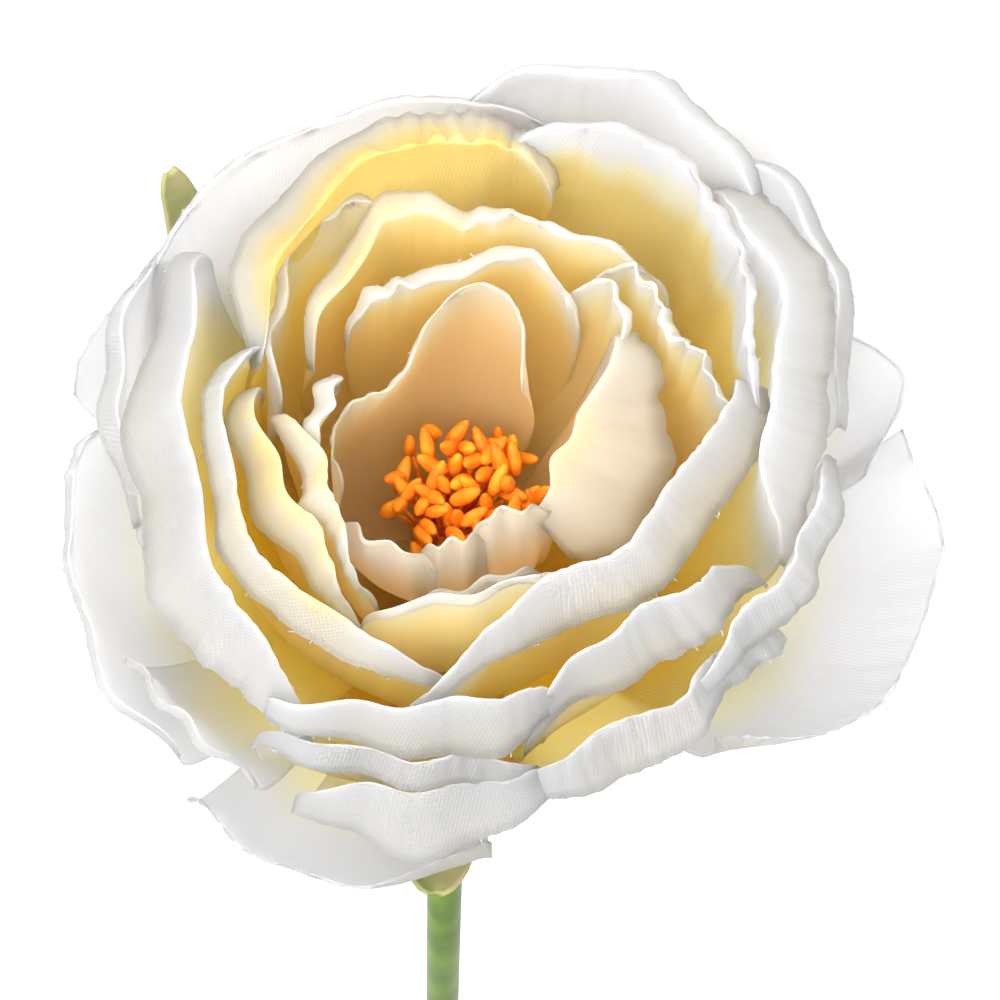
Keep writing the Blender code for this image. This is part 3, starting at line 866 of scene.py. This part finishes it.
LAYERS = (
    PetalLayer("outer_petals", 0, 47.0, Slot.WHITE, WHITE_CLOTH, (
        Petal(169, 225, (42.5, 45, 45.5, 46.5, 44.5), (27, 24, 21.5, 20, 20.5), (1, 1), (1, 1), frill=0.35,
              white=16.0),
        Petal(229, 277, (46.8, 49.3, 49.3, 46.5, 40.5), (18, 17, 15.5, 15.5, 17.5), (0.15, 0.15),
              (0.1, 0.1), frill=0.35, white=12.0, drop=0.45),
        Petal(315, 370, (43, 54, 57, 58.5, 58.5, 55), (22, 20, 18, 18, 18.5, 21), (0.15, 0.15), (0.1, 0.1),
              frill=0.35, white=14.0, crease=1.5, drop=0.12),
        Petal(6, 76, (50.5, 56.5, 51.5, 48, 45, 43.5, 42, 41), (20, 21, 22, 22, 22, 21, 21, 20), (0.2, 0.2),
              (0.15, 0.15), frill=0.5),
        Petal(84, 162, (41, 44.5, 46.8, 48, 48), (19, 20, 20, 21, 21), (0.2, 0.2), (0.15, 0.15), frill=0.3),
    )),
    PetalLayer("guard_petals", 1, 42.0, Slot.WHITE, WHITE_CLOTH, (
        Petal(139, 188, (43.5, 42.4, 40.3, 38.3, 36.5), (34, 35, 34.5, 33, 30), (0.5, 1.5, 2.9, 3.3, 2),
              (1, 2, 3, 3, 2), frill=0.35, white=14.0),
        Petal(208, 238, (42.5, 43, 43, 42), (23, 24, 23.5, 22), (0.6, 0.8, 0.8, 0.6), (0.6, 0.8, 0.8, 0.6),
              frill=0.4),
        Petal(236, 286, (40, 39, 38.3, 38, 37.5), (33, 33.5, 33, 32.5, 31), (1.5, 2, 2, 2, 1.5),
              (2, 3.5, 4, 4, 3), frill=0.3, pleat=0.2, white=7.0, fray=0.5),
        Petal(245, 291, (42, 41, 40, 39, 38.5), (27, 28, 28, 28, 28), (2, 4.5, 6, 4, 2),
              (3, 6, 7.3, 5, 2.5), frill=0.3, pleat=0.2, white=8.0, drop=0.35),
        Petal(282, 334, (38.5, 38.5, 39, 40, 42), (30, 30, 31, 32, 31), (2, 4, 4, 3.5, 2),
              (4, 6.5, 5.5, 4, 2), 0.7, 2.5, frill=0.5, pleat=0.25, white=8.0, fray=0.25),
        Petal(314, 362, (39.5, 40, 41.5, 42.5, 44), (37, 38, 38, 38, 37), (1.5, 3, 3.5, 3, 2),
              (2, 5, 5, 4, 2), frill=0.35),
        Petal(8, 56, (45.5, 48, 49, 48.5, 46), (35, 38, 40, 41, 40), (2, 2.5, 3, 2.5, 2), (2, 3, 3, 3, 2),
              frill=0.3, white=12.0),
    )),
    PetalLayer("cup_petals", 2, 38.5, Slot.WHITE, WHITE_CLOTH, (
        Petal(139, 245, (37.5, 32.5, 30.5, 30, 31.3, 33.8, 36.6), (41, 44, 44, 43, 42, 41, 39),
              (4, 5, 7, 7, 7.5, 6, 3.5), (3, 5, 7, 7, 7, 6, 4), weave=88.0, frill=0.3, white=11.0,
              fray=0.3),
        Petal(238, 289, (38.5, 37, 35.5, 34.5, 34, 34), (39, 40.5, 41, 41, 41, 40.5),
              (2, 2.2, 2.5, 3.5, 3.5, 2.5), (3, 5, 8, 8, 8, 6), weave=28.0, frill=0.2, drop=0.08,
              fray=0.25),
        Petal(284, 338, (34, 32.5, 31.5, 32.5, 34.5, 37), (40, 42, 42, 42, 41, 39), (2, 3, 4.5, 5, 4, 3),
              (4, 7, 7, 6, 5, 3), weave=60.0, frill=0.4, fray=0.25),
        Petal(342, 408, (40, 35.5, 36.5, 39, 41, 41.5, 43.5), (38, 43, 44, 45, 45, 44.5, 44),
              (4, 6.5, 7, 7, 7, 6, 4), (4, 5, 5, 5, 5, 4, 3), frill=0.2, white=11.0),
        Petal(37, 92, (45.5, 46.5, 47.6, 45.8, 43.5), (45, 46, 45, 43, 39), (2, 3.5, 4, 2.8, 2),
              (2, 4, 4, 3, 2), frill=0.35, white=16.0),
        Petal(70, 153, (42, 43, 42.5, 42.5, 43, 42.5), (38.5, 39.5, 39.5, 39, 36, 33),
              (0.5, 1, 1, 1, 1, 0.5), (0.5, 1, 1, 1, 1, 0.5), frill=0.4, white=14.0),
    )),
    PetalLayer("bowl_petals", 3, 32.5, Slot.CREAM, CREAM_CLOTH, (
        Petal(69, 160, (32.5, 34, 33.5, 31, 28, 26, 24), (44, 45.5, 46, 46, 46, 45, 43),
              (3.5, 6, 6.5, 6.5, 6.5, 6, 3), (3, 3.5, 4.5, 4.5, 4.5, 4, 3), frill=0.6, pleat=0.5, white=3.0,
              drop=0.15),
        Petal(155, 270, (24.5, 25.5, 26, 27, 28, 27.5, 29.5), (43, 44, 44, 43, 42, 41, 37),
              (2, 2.5, 3, 3, 3.6, 3, 1), (2, 3, 3.5, 4, 3.4, 2.8, 2), weave=2.0, frill=0.35, white=4.0,
              drop=0.15, fray=0.25),
        Petal(262, 370, (33.5, 26, 23.5, 25, 26, 28, 33.5), (38, 43, 43.5, 44, 44, 44, 43.5),
              (1, 2.5, 4.5, 5, 5.5, 6, 5), (2, 4.5, 5.5, 6, 6, 6, 5), weave=25.0, frill=0.22, white=11.0,
              drop=0.1, fray=0.3),
        Petal(1, 84, (34, 35.5, 38.5, 41, 39, 35.5), (42, 45, 46, 46, 45.5, 44.5),
              (0.5, 0.8, 1, 1, 0.8, 0.5), (0.3, 0.5, 0.5, 0.5, 0.5, 0.3), frill=1.6, white=4.5, uneven=0.15,
              drop=0.15),
    )),
    PetalLayer("inner_petals", 4, 27.5, Slot.CREAM, INNER_CLOTH, (
        Petal(34, 146, (31, 29.5, 26.3, 25.7, 26.1, 25.1, 21.9, 18.9),
              (40.5, 41.5, 42.5, 42.5, 42, 41.5, 41, 39.5), (0.5, 0.5, 0.6, 1.2, 2.2, 2.8, 2.4, 1),
              (0.3, 0.4, 0.5, 0.5, 0.8, 1.2, 1.5, 0.5), frill=2.4, white=1.5),
        Petal(100, 169, (28.5, 30.5, 29.5, 25.5, 22.5, 20.5), (39, 41, 41.5, 41, 40.5, 39),
              (0.8, 1.5, 1.8, 1.5, 1, 0.5), (0.5, 0.8, 0.8, 0.8, 0.5, 0.3), frill=1.8, white=9.0),
        Petal(161, 246, (23.5, 22, 20.5, 20, 21, 24), (39.5, 41, 41, 40.5, 39, 36.5),
              (1, 3.5, 4.5, 4.5, 3, 1), (1, 2.5, 3.5, 3.5, 3, 1), frill=0.6, white=2.5),
        Petal(244, 312, (24, 22.5, 21.5, 21, 22.5), (38, 39.5, 40.5, 41, 40), (0.6, 0.7, 0.7, 0.7, 0.6),
              (0.5, 0.7, 0.7, 0.7, 0.5), frill=1.0, white=1.2),
        Petal(356, 414, (29.5, 30.5, 27.5, 28, 25.5), (37, 40.5, 41.5, 41.5, 41), (0.6, 1.5, 1.5, 1, 0.6),
              (0.5, 1.5, 1.5, 1, 0.5), frill=2.2, white=4.0),
    )),
    PetalLayer("nest_petals", 5, 22.0, Slot.CREAM, INNER_CLOTH, (
        Petal(168, 246, (20.5, 17, 15.5, 16.5, 18.5, 21), (39, 40, 40, 39.5, 38, 35.5),
              (0.8, 2.5, 3, 2.5, 1.5, 0.5), (1, 2, 2, 2, 1.5, 0.5), frill=0.8, white=2.0),
        Petal(46, 130, (21, 23.4, 23.4, 20.5, 18.8, 19, 19.5), (39, 40.5, 41, 41, 40.5, 40.5, 39.5),
              (0.5, 0.6, 0.6, 1.0, 1.6, 1.6, 0.5), (0.3, 0.4, 0.4, 0.4, 0.4, 0.4, 0.3), frill=2.2,
              white=3.0),
        Petal(252, 310, (18, 17.5, 17, 17, 17.5), (30, 32, 33, 33, 31), (0.5, 0.8, 0.8, 0.8, 0.5),
              (0.5, 0.5), frill=0.6, white=3.0),
        Petal(20, 56, (21, 23, 24.6, 24.8, 23), (39, 40.5, 41, 41, 40), (0.5, 0.8, 0.8, 0.8, 0.5),
              (0.4, 0.6, 0.6, 0.6, 0.4), frill=1.2, white=3.0),
        Petal(146, 196, (15.6, 14.2, 14.8, 16.2), (39, 40.5, 40, 38), (0.8, 2.0, 2.0, 0.8),
              (0.5, 1.2, 1.4, 0.8), frill=0.7, white=3.5),
    )),
    PetalLayer("heart_petals", 6, 16.0, Slot.PEACH, PEACH_CLOTH, (
        Petal(42, 200, (12, 16.2, 18.2, 14.5, 9.4, 9.5, 12, 12.6, 13.8),
              (37, 38.5, 39.5, 38.5, 37.5, 37, 36.5, 36, 35), (0.3, 0.4, 0.4, 0.4, 0.4, 0.4, 0.4, 0.4, 0.3),
              (0.2, 0.3, 0.3, 0.3, 0.3, 0.3, 0.3, 0.3, 0.2), frill=0.7, white=0.3, drop=0.15),
        Petal(214, 264, (15.2, 16.2, 16, 15.2, 15), (33.5, 36, 37, 36.5, 34), (0.3, 0.3), (0.2, 0.2),
              frill=0.4, white=6.0, pleat=0.05, drop=0.12),
        Petal(254, 290, (13.4, 13.4, 12.9, 11.6), (34, 36.5, 36.5, 34), (0.3, 0.3), (0.2, 0.2), frill=0.4,
              white=6.0, pleat=0.05, drop=0.12),
        Petal(279, 326, (12, 11.2, 12.6, 13.6), (35, 38, 38, 35.5), (0.3, 0.3), (0.2, 0.2), frill=0.4,
              white=6.0, pleat=0.05, drop=0.12),
        Petal(319, 394, (13, 12, 13.5, 17, 23), (35.5, 37.5, 39.5, 41, 41.5), (9, 12.5, 12, 8, 3),
              (4, 5, 5, 4, 2), frill=0.2, pleat=0.05, crease=0.6, white=10.0, uneven=0.08, drop=0.16),
    )),
)


@dataclass
class Stamens:
    """Moulded cluster: stalk, domed core, and rice-shaped anthers on short filaments."""

    count: int = 60
    length: float = 4.5
    radius: float = 0.92
    # Distance of the outermost anthers from the axis, and how far the tuft leans to the photograph's right.
    spread: float = 9.4
    sway: float = 1.8
    # Height of the middle anthers over the core's foot, and how much lower the outermost ones are.
    height: float = 14.0
    fall: float = 4.5
    # Random play in direction, in radians, in distance from the axis and in height. Then the play of the aim
    # along X, Y and Z, its strength, and the range of sizes.
    play: tuple = (0.25, 0.7, 1.6)
    lean_play: tuple = (1.0, 1.0, 0.3)
    lean: float = 0.9
    sizes: tuple = (0.85, 1.1)
    seed: int = 7
    # Turn from one filament to the next, in degrees.
    turn: float = 137.5
    # Where a filament starts: share of its tip's distance from the axis, and height over the core's foot.
    foot_share: float = 0.35
    foot_height: float = 1.2
    # Radii at its two ends.
    filament: tuple = (0.32, 0.22)
    # Depth of an anther's furrow, its half width in radians, and how much the anther narrows toward its tip.
    furrow: float = 0.16
    furrow_width: float = 0.5
    narrow: float = 0.15
    # Lower end of the stalk, and the core's outline over its foot.
    stalk_end: float = -2.6
    core: tuple = ((4.6, 0.0), (4.6, 1.2), (3.4, 2.6), (1.6, 3.3), (0.0, 3.5))

    def anther(self, bm: bmesh.types.BMesh, tip: Vector, aim: Vector, size: float) -> None:
        """Add one anther with the furrow along its side.

        Args:
            bm: the cluster's mesh.
            tip: its middle.
            aim: the way it points.
            size: its size against the usual one.
        """
        turn = aim.to_track_quat("Z", "Y").to_matrix().to_4x4()
        made = bmesh.ops.create_uvsphere(bm, u_segments=12, v_segments=9, radius=1.0)
        for vert in made["verts"]:
            around = math.atan2(vert.co.y, vert.co.x) / self.furrow_width
            furrow = 1 - self.furrow * math.exp(-(around**2))
            narrow = 1 - self.narrow * vert.co.z
            vert.co.x *= self.radius * size * furrow * narrow
            vert.co.y *= self.radius * size * furrow * narrow
            vert.co.z *= self.length / 2 * size
        bmesh.ops.transform(bm, matrix=Matrix.Translation(tip) @ turn, verts=made["verts"])

    def build(self) -> bpy.types.Object:
        """Build and dress the cluster.

        Returns:
            Its piece, which replaces the moulding's solid.
        """
        bm = bmesh.new()
        top = (len(LAYERS) - 1) * LAYER_PITCH + WASHER_HALF + FIT_GAP
        stalk = ((0.0, self.stalk_end), (STALK_RADIUS, self.stalk_end), (STALK_RADIUS, top))
        core = tuple((radius, top + height) for radius, height in self.core)
        turn_profile(bm, stalk + core, 32)
        draw = random.Random(self.seed)
        for index in range(self.count):
            share = (index + 0.5) / self.count
            direction, spread, height = (draw.uniform(-play, play) for play in self.play)
            direction += index * math.radians(self.turn)
            spread += self.spread * math.sqrt(share)
            height += top + self.height - self.fall * share * share
            outward = Vector((math.cos(direction), math.sin(direction), 0.0))
            foot = self.foot_share * spread * outward + Vector((0, 0, top + self.foot_height))
            tip = spread * outward + Vector((self.sway, 0, height))
            run = tip - foot
            place = Matrix.Translation((foot + tip) / 2) @ run.to_track_quat("Z", "Y").to_matrix().to_4x4()
            near, far = self.filament
            bmesh.ops.create_cone(
                bm, cap_ends=True, segments=7, radius1=near, radius2=far, depth=run.length, matrix=place
            )
            lean = Vector([draw.uniform(-play, play) for play in self.lean_play])
            self.anther(bm, tip, run.normalized() + self.lean * lean, draw.uniform(*self.sizes))
        return place_piece(bm, "stamen_cluster", ANTHER_SKIN.material(), "stamens")


@dataclass
class Calyx:
    """Moulded cup under the petals, with its socket and five sepals."""

    # Direction in degrees, reach from the axis, height of the tip.
    sepals: tuple = (
        (130.5, 53.2, 25.5), (200, 43.0, 0.5), (268, 43.4, 0.8), (340, 44.0, 0.5), (55, 42.0, 0.5),
    )
    width: float = 9.0
    thickness: float = 0.63
    # Width at the root as a share of the whole, how early the widest place comes, where along the length the
    # tip begins to narrow more, and how uneven the sides are and how often.
    root_share: float = 0.3
    early: float = 0.8
    tip_share: float = 0.93
    uneven: float = 0.05
    waves: float = 14
    # How far the midrib lies below the sides, and the veins' height and how close they lie.
    hollow: float = 0.5
    vein: float = 0.12
    veins: float = 9.5
    # The midline's foot, then its middle control points: shares of the reach, lowest height, share of the
    # tip's height.
    foot: tuple = (4.0, -2.2)
    bends: tuple = (0.88, 0.92)
    sag: float = -7.0
    climb: float = 0.5
    # Outline of the cup's outside, from its seat to the socket's rim.
    outside: tuple = (
        (7.2, -0.9), (7.8, -1.4), (7.6, -2.4), (6.4, -4.8), (5.2, -7.2),
        (4.6, -9.6), (4.3, -12.0), (4.3, -14.6), (4.0, -15.0),
    )
    # Heights of the bottom of the stalk's hole and of the socket's end.
    hole_end: float = -3.0
    socket_end: float = -4.2

    def sepal(self, bm: bmesh.types.BMesh, direction: float, reach: float, tip_height: float) -> None:
        """Add one sepal, hollow along its midrib.

        Args:
            bm: the calyx's mesh.
            direction: its direction in degrees.
            reach: distance of its tip from the axis.
            tip_height: height of its tip.
        """
        made = bmesh.ops.create_grid(bm, x_segments=12, y_segments=48, size=0.5)
        angle = math.radians(direction)
        outward = Vector((math.cos(angle), math.sin(angle), 0.0))
        sideways = Vector((-math.sin(angle), math.cos(angle), 0.0))
        curve = (
            self.foot,
            (self.bends[0] * reach, self.sag),
            (self.bends[1] * reach, self.climb * tip_height),
            (reach, tip_height),
        )
        for vert in made["verts"]:
            side = 2 * vert.co.x
            along = vert.co.y + 0.5
            bulge = math.sin(math.pi * along**self.early)
            half = self.width / 2 * (self.root_share + (1 - self.root_share) * bulge)
            half *= 1 - 0.5 * max(0.0, (along - self.tip_share) / (1 - self.tip_share)) ** 2
            half *= 1 + self.uneven * noise.noise((along * self.waves, direction, side))
            radius, height = bezier(curve, along)
            vein = self.vein * math.cos(side * self.veins) ** 2
            vert.co = outward * radius + sideways * (side * half)
            vert.co.z = height - self.hollow * (1 - side * side) + vein
        faces = list({face for vert in made["verts"] for face in vert.link_faces})
        bmesh.ops.recalc_face_normals(bm, faces=faces)
        bmesh.ops.solidify(bm, geom=faces, thickness=self.thickness)

    def build(self) -> bpy.types.Object:
        """Build and dress the calyx.

        Returns:
            Its piece, which replaces the moulding's solid.
        """
        bm = bmesh.new()
        hole = STALK_RADIUS + FIT_GAP
        bore = STEM_RADIUS + FIT_GAP
        seat = self.outside[0][1]
        rim = self.outside[-1][1]
        inside = ((0.0, self.hole_end), (hole, self.hole_end), (hole, seat))
        socket = ((bore, rim), (bore, self.socket_end), (0.0, self.socket_end))
        turn_profile(bm, inside + self.outside + socket, 48)
        for row in self.sepals:
            self.sepal(bm, *row)
        return place_piece(bm, "calyx_moulding", SEPAL_SKIN.material(), "calyx")


@dataclass
class Stem:
    """Covered wire: extruded sheath with a plain cut end, and the wire in it."""

    bore: float = 1.1
    # Rounding of the sheath's ends, and how far inside its cut end the wire stops.
    edge: float = 0.3
    setback: float = 0.5

    def build(self) -> None:
        """Build and dress the sheath and the wire."""
        end = STEM_TOP - STEM_LENGTH
        sheath = bmesh.new()
        profile = (
            (self.bore, end),
            (STEM_RADIUS - self.edge, end),
            (STEM_RADIUS, end + self.edge),
            (STEM_RADIUS, STEM_TOP - self.edge),
            (STEM_RADIUS - self.edge, STEM_TOP),
            (self.bore, STEM_TOP),
        )
        turn_profile(sheath, profile, 40)
        place_piece(sheath, "stem_sheath", STEM_SKIN.material(), "stem")
        wire = bmesh.new()
        cut = end + self.setback
        core = ((0.0, cut), (WIRE_RADIUS, cut), (WIRE_RADIUS, STEM_TOP), (0.0, STEM_TOP))
        turn_profile(wire, core, 24)
        place_piece(wire, "stem_core_wire", DrawnSteel().material(), "stem_wire")


@dataclass
class Studio:
    """Pale lit table, soft light from above, and the camera at the photograph's viewing angle."""

    # Focal length in picture widths, and where the bloom's origin lies in the 1000 pixel square picture.
    focal: float = 3.828
    origin_pixel: tuple = (450.0, 560.0)
    picture: float = 1000.0
    # Distance along the view, and how far the view is tilted and turned from the bloom's axis, in degrees.
    distance: float = 476.0
    tilt: float = 24.0
    swing: float = 1.066
    sensor: float = 36.0
    # Light from all sides and from the middle of the bright side, its direction, and the cosine at its rim.
    sky: float = 0.70
    key: float = 7.1
    key_side: tuple = (0.24, -0.75, 0.62)
    key_edge: float = 0.6
    # The table's own light, its colour and half its width, in metres.
    floor_glow: float = 0.30
    floor_colour: str = "DADADA"
    floor_half: float = 6.0

    def camera(self) -> None:
        """Aim the camera at the bloom from below its axis as the photograph does."""
        tilt = math.radians(self.tilt)
        swing = math.radians(self.swing)
        up = math.sin(tilt)
        back = math.cos(tilt)
        seen_x = Vector((math.cos(swing), -math.sin(swing) * up, -math.sin(swing) * back))
        seen_y = Vector((0, back, -up))
        seen_z = Vector((math.sin(swing), math.cos(swing) * up, math.cos(swing) * back))
        turn = Matrix((seen_x, seen_y, seen_z))
        half = self.picture / 2
        per_pixel = self.distance / (self.focal * self.picture)
        aside = (self.origin_pixel[0] - half) * per_pixel
        above = (half - self.origin_pixel[1]) * per_pixel
        place = -(turn @ Vector((aside, above, -self.distance)))
        data = bpy.data.cameras.new("camera")
        data.sensor_width = self.sensor
        data.lens = self.focal * self.sensor
        data.clip_start = 0.01
        camera = bpy.data.objects.new("camera", data)
        bpy.context.scene.collection.objects.link(camera)
        lying = LYING @ Matrix.Scale(1 / MM, 4)
        camera.matrix_world = lying @ Matrix.Translation(place * MM) @ turn.to_4x4()
        bpy.context.scene.camera = camera

    def table(self) -> None:
        """Lay a pale, evenly lit table top under the flower."""
        bm = bmesh.new()
        bmesh.ops.create_grid(bm, x_segments=1, y_segments=1, size=self.floor_half)
        mesh = bpy.data.meshes.new("table_top")
        bm.to_mesh(mesh)
        bm.free()
        top = bpy.data.objects.new("table_top", mesh)
        bpy.context.scene.collection.objects.link(top)
        finish = bpy.data.materials.new("opal_acrylic_lit")
        finish.use_nodes = True
        shader = finish.node_tree.nodes["Principled BSDF"]
        shader.inputs["Base Color"].default_value = linear(self.floor_colour)
        shader.inputs["Roughness"].default_value = 0.9
        shader.inputs["Emission Color"].default_value = (1.0, 1.0, 1.0, 1.0)
        shader.inputs["Emission Strength"].default_value = self.floor_glow
        finish.cycles.emission_sampling = "NONE"
        mesh.materials.append(finish)

    def lights(self) -> None:
        """Light the scene from a soft tent all round, brightest on the side that the bloom faces."""
        world = bpy.data.worlds.new("light_tent")
        bpy.context.scene.world = world
        world.use_nodes = True
        world.cycles.sampling_method = "NONE"
        tree = world.node_tree
        direction = add(tree, "TexCoord")
        facing = add(
            tree,
            "VectorMath",
            {0: direction.outputs["Generated"], 1: Vector(self.key_side).normalized()},
            operation="DOT_PRODUCT",
        )
        levels = {"From Min": self.key_edge, "To Min": self.sky, "To Max": self.key}
        levels["Value"] = facing.outputs["Value"]
        strength = add(tree, "MapRange", levels, interpolation_type="SMOOTHSTEP")
        background = tree.nodes["Background"]
        background.inputs[0].default_value = (1.0, 1.0, 1.0, 1.0)
        tree.links.new(strength.outputs[0], background.inputs[1])

    def build(self) -> None:
        """Set the scene."""
        self.table()
        self.lights()
        self.camera()
        scene = bpy.context.scene
        scene.view_settings.view_transform = "Standard"
        scene.cycles.max_bounces = 10
        scene.cycles.diffuse_bounces = 7
        scene.cycles.transmission_bounces = 9


def main() -> None:
    """Build the flower piece by piece and set the scene."""
    logging.basicConfig(level=logging.INFO, format="%(message)s")
    cloths = (WHITE_CLOTH, CREAM_CLOTH, INNER_CLOTH, PEACH_CLOTH)
    finishes = {cloth.name: cloth.material() for cloth in cloths}
    for layer in LAYERS:
        layer.build(finishes[layer.cloth.name])
    Stamens().build()
    Calyx().build()
    Stem().build()
    Studio().build()
    bpy.context.view_layer.update()


if __name__ == "__main__":
    main()
